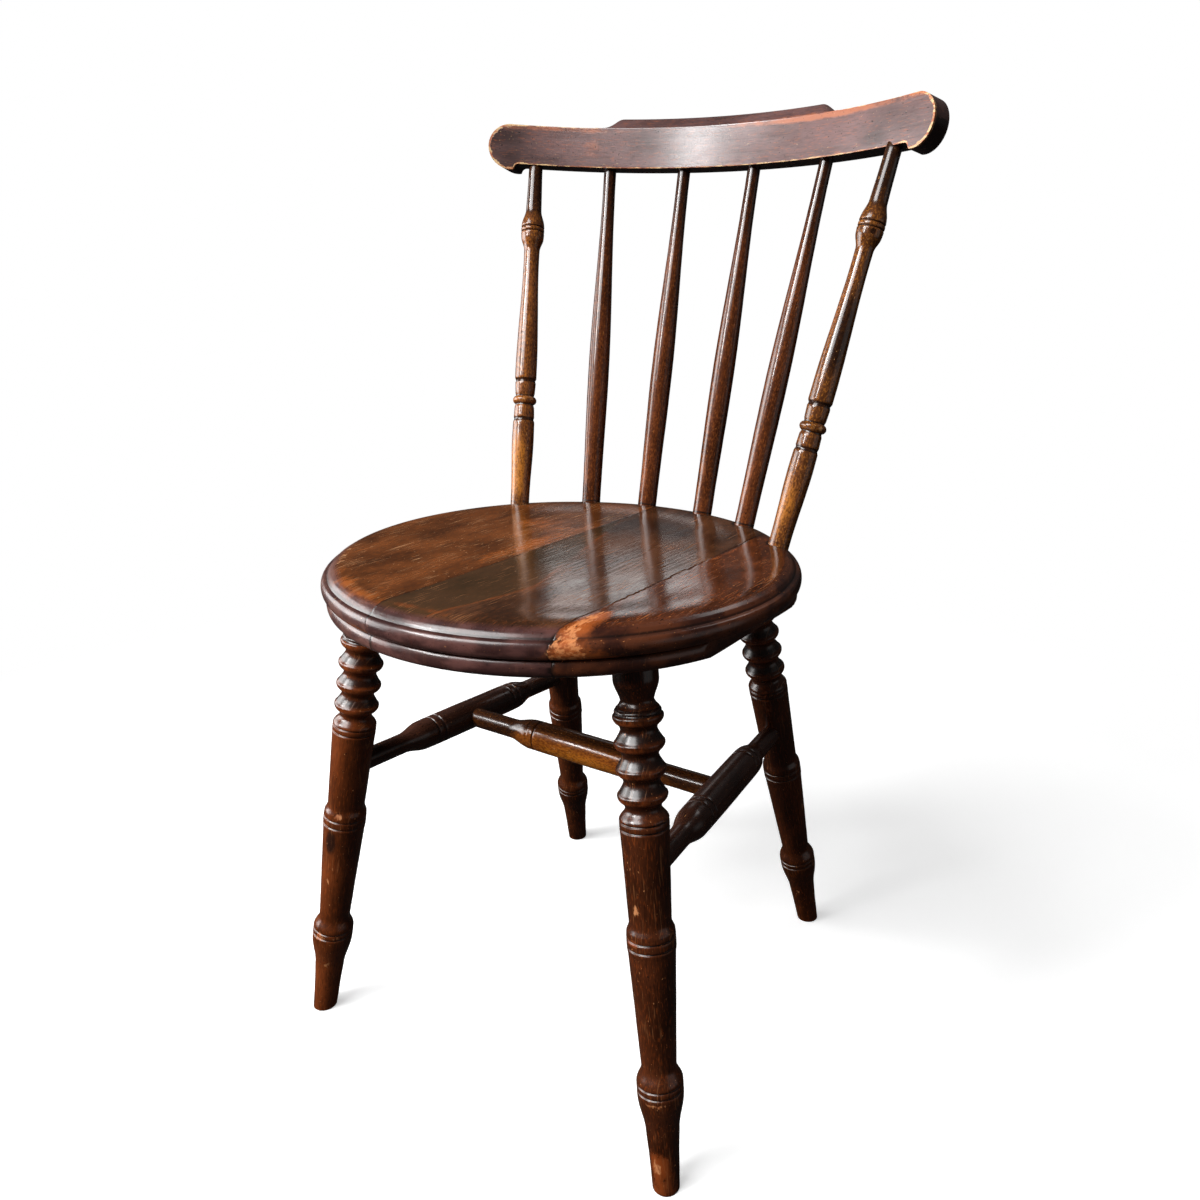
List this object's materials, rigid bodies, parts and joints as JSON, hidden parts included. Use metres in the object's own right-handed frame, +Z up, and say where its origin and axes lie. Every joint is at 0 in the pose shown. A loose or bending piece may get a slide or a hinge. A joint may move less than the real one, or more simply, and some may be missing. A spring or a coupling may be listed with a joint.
{
  "type": "round-seat spindle-back side chair",
  "caption": "Wooden side chair with a round moulded seat, beaded turned legs tied by an H stretcher, plain spindles between turned uprights, and a curved crest rail with rounded ends.",
  "frame": {"origin": "centre of the bounding box at floor level, under the back half of the seat", "axes": "+Z up; the sitter faces -Y; +X is to the right as seen from the front"},
  "size_m": [0.465, 0.4791, 0.8185],
  "materials": {
    "seat_left": "gloss",
    "seat_middle": "gloss",
    "seat_right": "gloss",
    "legs": "gloss",
    "side_stretchers": "gloss",
    "cross_stretcher": "gloss",
    "uprights": "gloss",
    "spindles": "gloss",
    "crest_rail": "satin"
  },
  "bodies": {
    "root": {"seat_board_left": "seat_left", "seat_board_middle": "seat_middle", "seat_board_right": "seat_right", "leg_front_left": "legs", "leg_front_right": "legs", "leg_back_left": "legs", "leg_back_right": "legs", "side_stretcher_left": "side_stretchers", "side_stretcher_right": "side_stretchers", "cross_stretcher": "cross_stretcher", "upright_left": "uprights", "upright_right": "uprights", "spindle_outer_left": "spindles", "spindle_inner_left": "spindles", "spindle_inner_right": "spindles", "spindle_outer_right": "spindles", "crest_rail": "crest_rail"}
  },
  "joints": []
}
